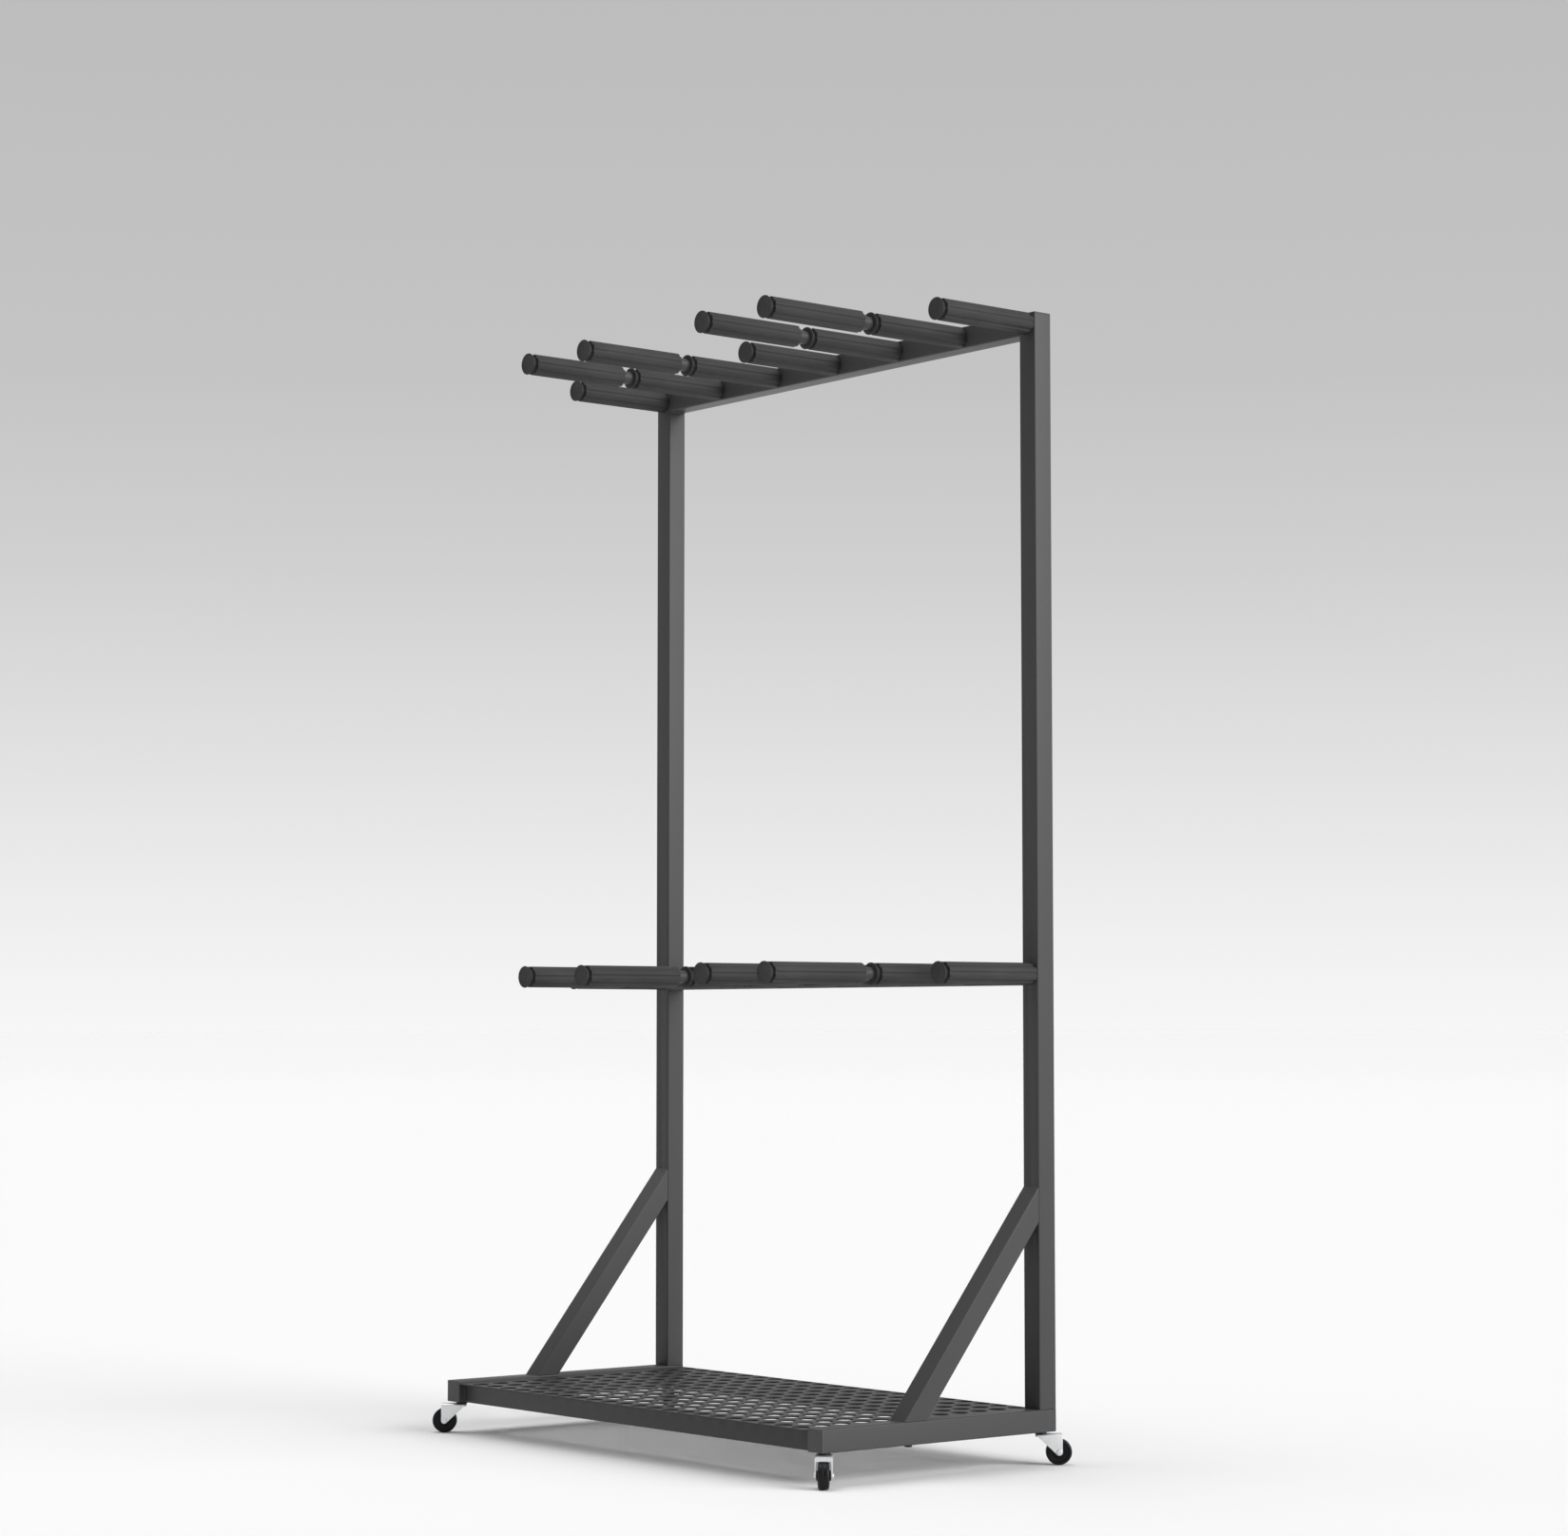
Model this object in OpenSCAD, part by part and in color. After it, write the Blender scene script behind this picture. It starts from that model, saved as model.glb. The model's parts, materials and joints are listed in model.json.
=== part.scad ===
// Racket storage cart: a square tube frame on four small swivel casters, with a
// perforated tray at the bottom and two tiers of sleeved arms on two crossbars.
// Millimetres. The origin is on the floor, below the middle of the frame; +Z is
// up and the arms point along -Y. Right means +X.

/* [Frame] */
// Width across the outer faces of the side rails
frame_w = 725; // [600:5:900]
// Depth from the front ends of the side rails to the backs of the uprights
frame_d = 350; // [340:5:500]
// Height from the underside of the side rails to the tops of the uprights
frame_h = 1297; // [1000:1:1600]
// Outside size of the square tube
tube = 26; // [24:0.5:30]
// Wall of the square tube
tube_wall = 1.2; // [0.8:0.1:1.4]
// Outside radius along the edges of the square tube
tube_corner = 1.6; // [1.5:0.1:4]
// Height of the lower crossbar's underside above the underside of the rails
lower_crossbar_z = 511; // [400:1:700]

/* [Base rails] */
// Height of the front and rear rails
cross_rail_h = 22; // [18:0.5:23]
// Distance of the front rail behind the front ends of the side rails
front_rail_setback = 8; // [0:0.5:30]

/* [Tray] */
// Thickness of the perforated sheet
tray_t = 1.5; // [0.8:0.1:2]
// Gap between the sheet and each side rail
tray_gap = 0.3; // [0.2:0.1:2]
// Distance between the middles of neighbouring holes
hole_pitch = 29.4; // [25:0.1:40]
// Diameter of the holes
hole_d = 20.5; // [8:0.5:22]
// Least width of sheet left between a hole and the edge
hole_margin = 3; // [2:0.5:20]

/* [Braces] */
// Middle of the brace foot behind the front ends of the side rails
brace_foot_y = 135; // [100:1:180]
// Height of the middle of the brace head above the underside of the rails
brace_head_z = 259; // [200:1:360]
// Thickness of the plates that close the ends of a brace
brace_plate_t = 3; // [2:0.5:5]

/* [Arms] */
// Diameter of the arm rods
rod_d = 16; // [12:0.5:18]
// Wall of the arm rods
rod_wall = 1.5; // [1:0.1:2.5]
// Length of one sleeve with its disc
sleeve_len = 143; // [100:1:160]
// Diameter of a sleeve across its ribs
sleeve_d = 26; // [24:0.5:32]
// Bare length of rod between two sleeves on one arm
sleeve_gap = 16; // [8:1:30]
// Grooves along a sleeve
flute_count = 8; // [6:1:12]
// Depth of the grooves along a sleeve
flute_depth = 1.2; // [0.5:0.1:1.5]
// Radius of the round bottoms of those grooves
flute_r = 3; // [2:0.2:7]
// Thickness of the disc at the front of a sleeve
disc_t = 4.5; // [3:0.5:8]
// Diameter of the disc at the front of a sleeve
disc_d = 26.6; // [24:0.2:34]
// Width of the ring groove behind the disc
ring_groove_w = 2.3; // [1:0.1:4]
// Depth of the ring groove behind the disc
ring_groove_depth = 2.4; // [1:0.1:2.5]

/* [Casters] */
// Distance from the floor to the underside of the side rails
caster_h = 38; // [37:1:44]
// Diameter of the wheels
wheel_d = 30; // [24:0.5:30]
// Width of the tread
wheel_w = 12.5; // [8:0.5:13]
// Distance from the swivel axis to the wheel axle
trail = 21; // [20:0.5:26]
// Outside width of the fork
fork_w = 19.5; // [19:0.5:26]
// Sheet thickness of the fork
fork_t = 1.5; // [1:0.1:1.8]
// Radius of the fork's rounded tip round the axle
fork_tip_r = 3.8; // [3.5:0.1:6]
// Distance from the swivel axis to the back edge of the fork's top
fork_back = 6.5; // [6:0.5:9]
// Diameter of the threaded stem
stem_d = 8; // [7:0.5:8.5]
// Width across the flats of the lock nut
nut_af = 13; // [11:0.5:14]
// Height of the lock nut
nut_h = 2.4; // [2:0.1:5]
// Diameter of the wheel axle
axle_d = 4; // [3:0.25:5]
// Resting direction of each fork in degrees from +X, in the order front
// right, front left, rear left, rear right
fork_rest = [-41.5, 230.65, 140.65, 50.65];

/* [Bolts and plugs] */
// Diameter of the brace bolts
bolt_d = 5; // [4:0.5:6]
// Width across the flats of the bolt heads
bolt_af = 8; // [7:0.5:10]
// Height of the bolt heads
bolt_head_h = 3.2; // [2.5:0.1:5]
// Thickness of the visible flange of a tube plug
plug_t = 1.6; // [1:0.1:3]
// Depth that an upright's plug reaches into its tube
plug_depth = 12; // [8:1:20]
// Wall of the hollow body of a tube plug
plug_wall = 1.8; // [1.2:0.1:3]

/* [Fits] */
// Gap on the radius between a turning part and its pin
running_gap = 0.06; // [0.04:0.01:0.1]
// Gap on the radius between a thread and its nut
thread_gap = 0.05; // [0.03:0.01:0.1]
// Gap on the radius round a bolt in a plain hole
bolt_gap = 0.25; // [0.1:0.05:0.5]
// Gap on the radius between a rod and its sleeve
sleeve_fit = 0.1; // [0.05:0.05:0.3]
// Gap between a plug's ribs and the inside of its tube
plug_gap = 0.1; // [0.05:0.05:0.3]
// Gap along an axle or stem between parts that turn on each other
end_gap = 0.15; // [0.1:0.05:0.4]
// Gap between the wheel's tread and the lip at the front of the fork
tread_gap = 0.7; // [0.4:0.1:1.2]

/* [Hidden] */
$fn = 64;
arms_per_tier = 7;

frame_z = caster_h;
side_x = (frame_w - tube) / 2;
inner_w = frame_w - 2 * tube;
front_y = -frame_d / 2;
back_y = frame_d / 2;
upright_y = back_y - tube / 2;
bar_face_y = back_y - tube;
rail_top_z = frame_z + tube;
top_z = frame_z + frame_h;
upper_axis_z = top_z - tube / 2;
lower_axis_z = frame_z + lower_crossbar_z + tube / 2;
tray_z = frame_z + cross_rail_h;
arm_pitch = 2 * side_x / (arms_per_tier - 1);

brace_y = front_y + brace_foot_y;
brace_z = frame_z + brace_head_z;
brace_angle = atan2(brace_z - rail_top_z, bar_face_y - brace_y);
brace_len = norm([brace_z - rail_top_z, bar_face_y - brace_y]);

stem_plate_t = 4;
weld_nut_h = 6.5;
stem_past_thread = 2;
axle_z = wheel_d / 2;
fork_top_z = frame_z - nut_h - end_gap;
fork_nose = trail + fork_tip_r;
// Lower edge of the lip, above the highest point of the tread below it
fork_lip_z = axle_z + sqrt(pow(wheel_d / 2, 2) - pow(fork_tip_r - fork_t, 2)) + tread_gap;
rivet_r = 6;
rivet_h = 1.8;
hub_w = fork_w - 2 * fork_t - 2 * end_gap;
axle_head_r = 3.1;
axle_head_h = 1.3;
// The rail plugs stop short of the weld nuts and stems behind them
rail_plug_depth = tube / 2 - nut_af / 2 - plug_t - plug_gap;
tread_round = 2.5;
edge = 0.01;

// Swivel axes in the order of fork_rest
caster_at = [[side_x, front_y + tube / 2], [-side_x, front_y + tube / 2],
             [-side_x, upright_y], [side_x, upright_y]];
caster_names = ["front_right", "front_left", "rear_left", "rear_right"];

// Outlines

// Rectangle with true round corners, centred on the origin
module rounded_rect(w, h, r) {
    square([w, h - 2 * r], center = true);
    square([w - 2 * r, h], center = true);
    for (x = [-1, 1], y = [-1, 1])
        translate([x * (w / 2 - r), y * (h / 2 - r)]) circle(r);
}

// Section of a square or rectangular tube
module tube_section(w, h) {
    difference() {
        rounded_rect(w, h, tube_corner);
        rounded_rect(w - 2 * tube_wall, h - 2 * tube_wall, tube_corner - tube_wall);
    }
}

module along_x(len) rotate([90, 0, 90]) linear_extrude(len, center = true) children();
module along_y(len) rotate([90, 0, 0]) linear_extrude(len, center = true) children();

module mirrored_x() {
    children();
    mirror([1, 0, 0]) children();
}

// Base rails and tray

// Side rail: tube, weld nut for the front caster, and holes for the rear
// caster's stem and the brace bolt. The end plugs close both ends.
module side_rail() {
    color("#4a4a4c") translate([side_x, 0, frame_z + tube / 2]) {
        difference() {
            union() {
                along_y(frame_d - 2 * plug_t) tube_section(tube, tube);
                translate([0, caster_at[0][1], tube_wall - tube / 2])
                    cylinder(h = weld_nut_h, d = nut_af / cos(30), $fn = 6);
            }
            translate([0, caster_at[0][1], -tube])
                cylinder(h = tube, r = stem_d / 2 + thread_gap);
            translate([0, upright_y, -tube])
                cylinder(h = 2 * tube, r = stem_d / 2 + bolt_gap);
            translate([0, brace_y, -tube])
                cylinder(h = 2 * tube, r = bolt_d / 2 + bolt_gap);
        }
    }
}

module cross_rail(y) {
    color("#444446") translate([0, y, frame_z + cross_rail_h / 2])
        along_x(inner_w) tube_section(tube, cross_rail_h);
}

// Flat sheet with a square grid of round holes, as many as fit its margins
module tray_sheet() {
    w = inner_w - 2 * tray_gap;
    least = hole_d / 2 + hole_margin;
    columns = floor((w - 2 * least) / hole_pitch);
    rows = floor((frame_d - 2 * least) / hole_pitch);
    color("#2b2b2d") translate([0, 0, tray_z]) linear_extrude(tray_t)
        difference() {
            square([w, frame_d], center = true);
            for (i = [0:columns], j = [0:rows])
                translate([(i - columns / 2) * hole_pitch, (j - rows / 2) * hole_pitch])
                    circle(d = hole_d, $fn = 32);
        }
}

// Uprights, crossbars and braces

// Upright: tube on a tapped foot plate, which the rear caster's stem holds
// to the side rail
module upright() {
    color("#4a4a4c") translate([side_x, upright_y, 0]) difference() {
        translate([0, 0, rail_top_z]) union() {
            linear_extrude(top_z - plug_t - rail_top_z) tube_section(tube, tube);
            linear_extrude(stem_plate_t) rounded_rect(tube, tube, tube_corner);
        }
        translate([0, 0, rail_top_z - 1])
            cylinder(h = stem_plate_t + 2, r = stem_d / 2 + thread_gap);
        translate([0, 0, brace_z]) rotate([90, 0, 0])
            cylinder(h = 2 * tube, r = bolt_d / 2 + bolt_gap, center = true);
    }
}

module crossbar(axis_z) {
    color("#444446") translate([0, upright_y, axis_z])
        along_x(inner_w) tube_section(tube, tube);
}

// Bar of the brace's direction, longer than the brace at both ends
module brace_bar() {
    translate([side_x, (brace_y + bar_face_y) / 2, (rail_top_z + brace_z) / 2])
        rotate([brace_angle, 0, 0]) along_y(brace_len + 4 * tube) children();
}

// Space between the top of the side rail and the front of the upright
module brace_window(inset) {
    translate([side_x - tube, front_y, rail_top_z + inset])
        cube([2 * tube, bar_face_y - front_y - inset, frame_h]);
}

// Brace: tube cut level at its foot and upright at its head, both ends
// closed by tapped plates
module brace() {
    color("#4a4a4c") difference() {
        intersection() {
            brace_window(0);
            brace_bar() rounded_rect(tube, tube, tube_corner);
        }
        intersection() {
            brace_window(brace_plate_t);
            brace_bar() rounded_rect(tube - 2 * tube_wall, tube - 2 * tube_wall,
                                     tube_corner - tube_wall);
        }
        translate([side_x, brace_y, rail_top_z])
            cylinder(h = 4 * brace_plate_t, r = bolt_d / 2 + thread_gap, center = true);
        translate([side_x, bar_face_y, brace_z]) rotate([90, 0, 0])
            cylinder(h = 4 * brace_plate_t, r = bolt_d / 2 + thread_gap, center = true);
    }
}

// Bolts and plugs

// Hexagon bolt with its head below z = 0 and its shank upwards
module hex_bolt(len) {
    color("#1c1c1e") {
        translate([0, 0, -bolt_head_h]) cylinder(h = bolt_head_h, d = bolt_af / cos(30), $fn = 6);
        translate([0, 0, -edge]) cylinder(h = len + edge, d = bolt_d);
    }
}

bolt_len = tube + brace_plate_t + 5;

module brace_foot_bolts() {
    mirrored_x() translate([side_x, brace_y, frame_z]) hex_bolt(bolt_len);
}

module brace_head_bolts() {
    mirrored_x() translate([side_x, back_y, brace_z]) rotate([90, 0, 0]) hex_bolt(bolt_len);
}

// Plug for a square tube, flange upwards from z = 0: a flange with rounded
// edges on a hollow body with ribs round it
module tube_plug(depth) {
    bore = tube - 2 * tube_wall;
    body = bore - 1;
    rib_h = 1.5;
    rib_step = 3.5;
    edge_r = 1.2;
    inner_r = tube_corner - tube_wall;
    color("#262628") {
        intersection() {
            linear_extrude(plug_t) rounded_rect(tube, tube, tube_corner);
            for_each_side() rounded_rect(tube, 2 * plug_t, edge_r);
        }
        difference() {
            union() {
                translate([0, 0, -depth]) linear_extrude(depth + edge)
                    rounded_rect(body, body, inner_r);
                for (k = [1:floor(depth / rib_step)])
                    translate([0, 0, -rib_step * k]) linear_extrude(rib_h)
                        rounded_rect(bore - 2 * plug_gap, bore - 2 * plug_gap, inner_r);
            }
            translate([0, 0, -depth - 1]) linear_extrude(depth + 1)
                rounded_rect(body - 2 * plug_wall, body - 2 * plug_wall, inner_r / 2);
        }
    }
}

// Outline run both across and along, and only what both hold is kept
module for_each_side() {
    intersection() {
        along_x(2 * tube) children();
        along_y(2 * tube) children();
    }
}

module upright_caps() {
    mirrored_x() translate([side_x, upright_y, top_z - plug_t]) tube_plug(plug_depth);
}

module rail_end_plugs() {
    mirrored_x() translate([side_x, 0, frame_z + tube / 2])
        for (turn = [0, 180]) rotate(turn)
            translate([0, back_y - plug_t, 0]) rotate([-90, 0, 0])
                tube_plug(rail_plug_depth);
}

// Arms and sleeves

// Arms are counted from the right; every third one is short
function arm_x(i) = side_x - (i - 1) * arm_pitch;
function is_long(i) = (i - 1) % 3 != 0;
function arm_len(i) = is_long(i) ? 2 * sleeve_len + sleeve_gap : sleeve_len;

// Rod welded to the front of its crossbar or upright, up to the closed disc
module arm_rod(i, axis_z) {
    color("#3c3c3e") translate([arm_x(i), bar_face_y, axis_z]) rotate([90, 0, 0])
        difference() {
            cylinder(h = arm_len(i) - disc_t - sleeve_fit, d = rod_d);
            translate([0, 0, -1]) cylinder(h = arm_len(i) + 2, d = rod_d - 2 * rod_wall);
        }
}

// Round body with shallow grooves along it
module fluted_section() {
    difference() {
        circle(d = sleeve_d);
        for (k = [0:flute_count - 1]) rotate(k * 360 / flute_count)
            translate([sleeve_d / 2 + flute_r - flute_depth, 0]) circle(flute_r);
    }
}

// Sleeve from z = 0 forward: fluted body, ring groove and disc. A sleeve at
// the end of its arm has a closed disc; the other lets the rod through.
module sleeve(closed) {
    body_len = sleeve_len - disc_t - ring_groove_w;
    rim_r = min(1.2, disc_t / 2 - 0.1);
    color("#343436") difference() {
        union() {
            linear_extrude(body_len) fluted_section();
            cylinder(h = sleeve_len - disc_t + edge, r = sleeve_d / 2 - ring_groove_depth);
            translate([0, 0, sleeve_len - disc_t / 2]) rotate_extrude() intersection() {
                rounded_rect(disc_d, disc_t, rim_r);
                translate([0, -disc_t]) square([disc_d, 2 * disc_t]);
            }
        }
        translate([0, 0, -1])
            cylinder(h = sleeve_len + 1 + (closed ? -disc_t : 1), r = rod_d / 2 + sleeve_fit);
    }
}

module arm_sleeves(i, axis_z) {
    translate([arm_x(i), bar_face_y, axis_z]) rotate([90, 0, 0]) {
        sleeve(!is_long(i));
        if (is_long(i)) translate([0, 0, sleeve_len + sleeve_gap]) sleeve(true);
    }
}

// Casters

// Threaded stem with the neck and rivet head that the fork hangs on. The
// rear stems reach through the rail into the uprights' foot plates.
module caster_stem(into_upright) {
    reach = into_upright ? tube + stem_plate_t : tube_wall + weld_nut_h;
    neck_bottom = fork_top_z - fork_t - end_gap;
    color("#b9bbbe") {
        translate([0, 0, neck_bottom - edge])
            cylinder(h = frame_z + reach + stem_past_thread - neck_bottom + edge, d = stem_d);
        translate([0, 0, neck_bottom - rivet_h]) rotate_extrude() intersection() {
            rounded_rect(2 * rivet_r, 2 * rivet_h, rivet_h / 2);
            square([rivet_r, rivet_h]);
        }
    }
}

module caster_stems() {
    for (c = [0:3]) translate(caster_at[c]) caster_stem(c >= 2);
}

module caster_lock_nuts() {
    color("#18181a") for (c = [0:3]) translate([each caster_at[c], frame_z - nut_h])
        difference() {
            cylinder(h = nut_h, d = nut_af / cos(30), $fn = 6);
            translate([0, 0, -1]) cylinder(h = nut_h + 2, r = stem_d / 2 + thread_gap);
        }
}

module at_caster(c) translate(caster_at[c]) rotate(fork_rest[c]) children();

// Side outline of the fork, x along the trail: a wedge from the top plate
// down to a rounded tip round the axle, its back edge tangent to the tip
module fork_outline() {
    reach = norm([trail + fork_back, fork_top_z - axle_z]);
    slope = atan2(axle_z - fork_top_z, trail + fork_back) - asin(fork_tip_r / reach);
    tip_steps = 12;
    tip = [for (k = [0:tip_steps]) let (a = (slope - 90) * k / tip_steps)
           [trail + fork_tip_r * cos(a), axle_z + fork_tip_r * sin(a)]];
    polygon(concat([[-fork_back, fork_top_z], [fork_nose, fork_top_z]], tip));
}

// Folded sheet seen from the front, with round bends at the top
module fork_fold(w, drop, r) {
    translate([0, fork_top_z - drop]) {
        translate([-w / 2, -2 * wheel_d]) square([w, 2 * wheel_d - r]);
        translate([-w / 2 + r, -2 * wheel_d]) square([w - 2 * r, 2 * wheel_d]);
        for (s = [-1, 1]) translate([s * (w / 2 - r), -r]) circle(r);
    }
}

module caster_fork() {
    bend_r = 2.2;
    span = 4 * trail;
    color("#c9cbce") difference() {
        intersection() {
            along_y(2 * fork_w) fork_outline();
            along_x(span) fork_fold(fork_w, 0, bend_r);
        }
        intersection() {
            along_x(span) fork_fold(fork_w - 2 * fork_t, fork_t, bend_r - fork_t);
            translate([-span, -fork_w, 0]) cube([span + fork_nose - fork_t, 2 * fork_w, fork_top_z]);
        }
        translate([trail, fork_t - fork_w / 2, -edge])
            cube([span, fork_w - 2 * fork_t, min(fork_lip_z, fork_top_z - fork_t) + edge]);
        translate([0, 0, fork_top_z - 2 * fork_t])
            cylinder(h = 3 * fork_t, r = stem_d / 2 + running_gap);
        translate([trail, 0, axle_z]) rotate([90, 0, 0])
            cylinder(h = 2 * fork_w, r = axle_d / 2 + thread_gap, center = true);
    }
}

// Wheel: rounded tread, recessed sides and a hub that runs between the legs
module caster_wheel() {
    r = wheel_d / 2;
    hub_r = 5.5;
    rim_r = r - 3.5;
    recess = 1.6;
    color("#141416") translate([trail, 0, axle_z]) rotate([90, 0, 0]) difference() {
        union() {
            rotate_extrude() intersection() {
                rounded_rect(wheel_d, wheel_w, tread_round);
                translate([0, -wheel_w]) square([r, 2 * wheel_w]);
            }
            cylinder(h = hub_w, r = hub_r, center = true);
        }
        for (s = [-1, 1]) translate([0, 0, s * wheel_w / 2]) difference() {
            cylinder(h = 2 * recess, r = rim_r, center = true);
            cylinder(h = 4 * recess, r = hub_r, center = true);
        }
        cylinder(h = 2 * hub_w, r = axle_d / 2 + running_gap, center = true);
    }
}

// Rivet through both legs, with a round head on each side
module caster_axle() {
    color("#b9bbbe") translate([trail, 0, axle_z]) rotate([90, 0, 0]) {
        cylinder(h = fork_w + edge, d = axle_d, center = true);
        for (s = [0, 1]) mirror([0, 0, s]) translate([0, 0, fork_w / 2]) rotate_extrude()
            intersection() {
                rounded_rect(2 * axle_head_r, 2 * axle_head_h, axle_head_h / 2);
                square([axle_head_r, axle_head_h]);
            }
    }
}

side_rail();  // side_rail_right
mirror([1, 0, 0]) side_rail();  // side_rail_left
cross_rail(front_y + front_rail_setback + tube / 2);  // front_rail
cross_rail(upright_y);  // rear_rail
tray_sheet();
upright();  // upright_right
mirror([1, 0, 0]) upright();  // upright_left
crossbar(upper_axis_z);  // upper_crossbar
crossbar(lower_axis_z);  // lower_crossbar
brace();  // brace_right
mirror([1, 0, 0]) brace();  // brace_left
brace_foot_bolts();
brace_head_bolts();
upright_caps();
rail_end_plugs();
caster_stems();
caster_lock_nuts();
for (i = [1:arms_per_tier]) {
    arm_rod(i, upper_axis_z);
    arm_rod(i, lower_axis_z);
    arm_sleeves(i, upper_axis_z);
    arm_sleeves(i, lower_axis_z);
}
for (c = [0:3]) {
    at_caster(c) caster_fork();
    at_caster(c) caster_wheel();
    at_caster(c) caster_axle();
}
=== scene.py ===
# Looks of the racket storage cart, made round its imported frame. Metres, +Z up, arms along -Y.
import json
import math

import bmesh
import bpy
from mathutils import Matrix, Vector


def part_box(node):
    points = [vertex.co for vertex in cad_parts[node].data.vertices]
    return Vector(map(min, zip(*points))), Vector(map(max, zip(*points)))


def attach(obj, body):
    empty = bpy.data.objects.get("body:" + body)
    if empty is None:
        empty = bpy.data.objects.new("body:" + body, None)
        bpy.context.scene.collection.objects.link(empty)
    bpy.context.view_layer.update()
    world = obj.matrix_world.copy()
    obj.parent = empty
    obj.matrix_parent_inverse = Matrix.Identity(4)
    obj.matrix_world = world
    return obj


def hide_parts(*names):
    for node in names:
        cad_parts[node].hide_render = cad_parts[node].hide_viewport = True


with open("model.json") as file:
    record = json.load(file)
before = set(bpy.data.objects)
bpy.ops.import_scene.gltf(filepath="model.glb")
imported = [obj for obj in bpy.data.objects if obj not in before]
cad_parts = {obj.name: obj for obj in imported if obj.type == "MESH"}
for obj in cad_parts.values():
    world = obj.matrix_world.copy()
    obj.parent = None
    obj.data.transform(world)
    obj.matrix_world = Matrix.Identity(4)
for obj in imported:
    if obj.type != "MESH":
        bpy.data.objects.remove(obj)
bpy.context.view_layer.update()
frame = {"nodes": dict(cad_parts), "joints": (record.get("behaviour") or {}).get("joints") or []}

MM = 0.001
SIDES = ("right", "left")
TIERS = ("upper", "lower")
ARMS = range(1, 8)
CASTERS = ("front_right", "front_left", "rear_left", "rear_right")

# Easing of sharp edges and cleaning of meshes. An edge over the sharp angle keeps its crease
TUBE_EASE = 0.25 * MM
FORK_EASE = 0.4 * MM
STEM_EASE = 0.2 * MM
EASE_PROFILE = 0.6
MERGE = 0.001 * MM
FLAT_DEGREES = 0.4
SHARP_DEGREES = 32

# Sleeves: a fluted body, a groove round a neck, and a disc with a shallow dish at the front
SLEEVE_R = 13.0 * MM
SLEEVE_LEN = 143.0 * MM
SLEEVE_GAP = 16.0 * MM
SLEEVE_EASE = 0.4 * MM
BORE_R = 8.1 * MM
GROOVE_W = 6.0 * MM
NECK_R = SLEEVE_R - 4.0 * MM
DISC_R = 13.3 * MM
DISC_T = 1.8 * MM
DISC_RIM = 0.8 * MM
DISC_RIM_STEPS = 6
DISH_R = 0.84 * DISC_R
DISH_FLOOR_R = 0.78 * DISC_R
DISH_EYE_R = 0.3 * DISC_R
DISH_DEPTH = 0.35 * MM
FLUTES = 8
FLUTE_R = 3.0 * MM
FLUTE_DEPTH = 1.2 * MM
FLUTE_EASE = 0.35 * MM
FLUTE_STEPS = 20

# Tray
TRAY_T = 1.5 * MM
TRAY_EASE = 0.25 * MM
TRAY_RIM_DEGREES = 60
TRAY_SHARP_DEGREES = 50
HOLE_PITCH = 29.4 * MM
HOLE_R = 10.25 * MM
HOLE_STEPS = 32
HOLE_COLUMNS = 22
HOLE_ROWS = 12

# Bolts and nuts
NUT_AF = 13.0 * MM
BOLT_AF = 8.0 * MM
BOLT_HEAD_H = 3.2 * MM
SHANK_R = 2.5 * MM
SHANK_TIP_R = 2.1 * MM
SHANK_TIP_H = 0.5 * MM
SHANK_BITE = 0.1 * MM
SHANK_STEPS = 24
HEX_STEPS = 72
HEX_CROWN = 0.95
HEX_CHAMFER = math.radians(30)

# Wheels: a hub, a recess, a rim, round shoulders and a seam round the middle of the tread
WHEEL_R = 15.0 * MM
WHEEL_W = 12.5 * MM
WHEEL_STEPS = 72
WHEEL_EASE = 0.3 * MM
AXLE_BORE_R = 2.06 * MM
HUB_W = 16.1 * MM
HUB_R = 5.2 * MM
HUB_FOOT_R = 5.7 * MM
RECESS_DEPTH = 1.6 * MM
RECESS_FROM_R = 6.4 * MM
RECESS_TO_R = 10.6 * MM
RIM_R = 11.8 * MM
SHOULDER_R = 2.5 * MM
SHOULDER_STEPS = 6
SEAM_HALF_W = 0.35 * MM
SEAM_DEPTH = 0.2 * MM

# Weld beads, and how far they keep from the tubes' edges
BEAD_R = 1.5 * MM
BEAD_SIDES = 10
BEAD_STEP = 0.3 * MM
BEAD_SHARP_DEGREES = 50
RIPPLE_PITCH = 1.6 * MM
RIPPLE_SHARE = 0.14
RAIL_BEAD_FOOT = 2.0 * MM
RAIL_BEAD_HEAD = 2.5 * MM
CROSSBAR_BEAD_INSET = 3.0 * MM

# Floor, whose grey follows 1 / distance, and air, whose grey follows how steeply one looks up
FLOOR_REACH = 300.0
FLOOR_FAR = (0.907, 0.907, 0.907)
FLOOR_NEAR = (0.95, 0.95, 0.95)
NEARNESS_FAR = 0.004
NEARNESS_NEAR = 0.055
AIR_GREYS = ((0.0, 0.9225), (0.021, 0.88), (0.073, 0.753), (0.125, 0.631), (0.177, 0.552),
             (0.276, 0.508))
FILL_STRENGTH = 0.22

# Camera: its heading from +Y towards -X and its rise are in degrees, its lens and sensor in mm
CAMERA_PLACE = (3.416, -2.733, 0.501)
CAMERA_HEADING = 50.65
CAMERA_RISE = 4.08
FOCAL_LENGTH = 83.27
SENSOR_WIDTH = 36.0
SIGHT_LIMIT = 1000.0


# Node trees

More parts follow.
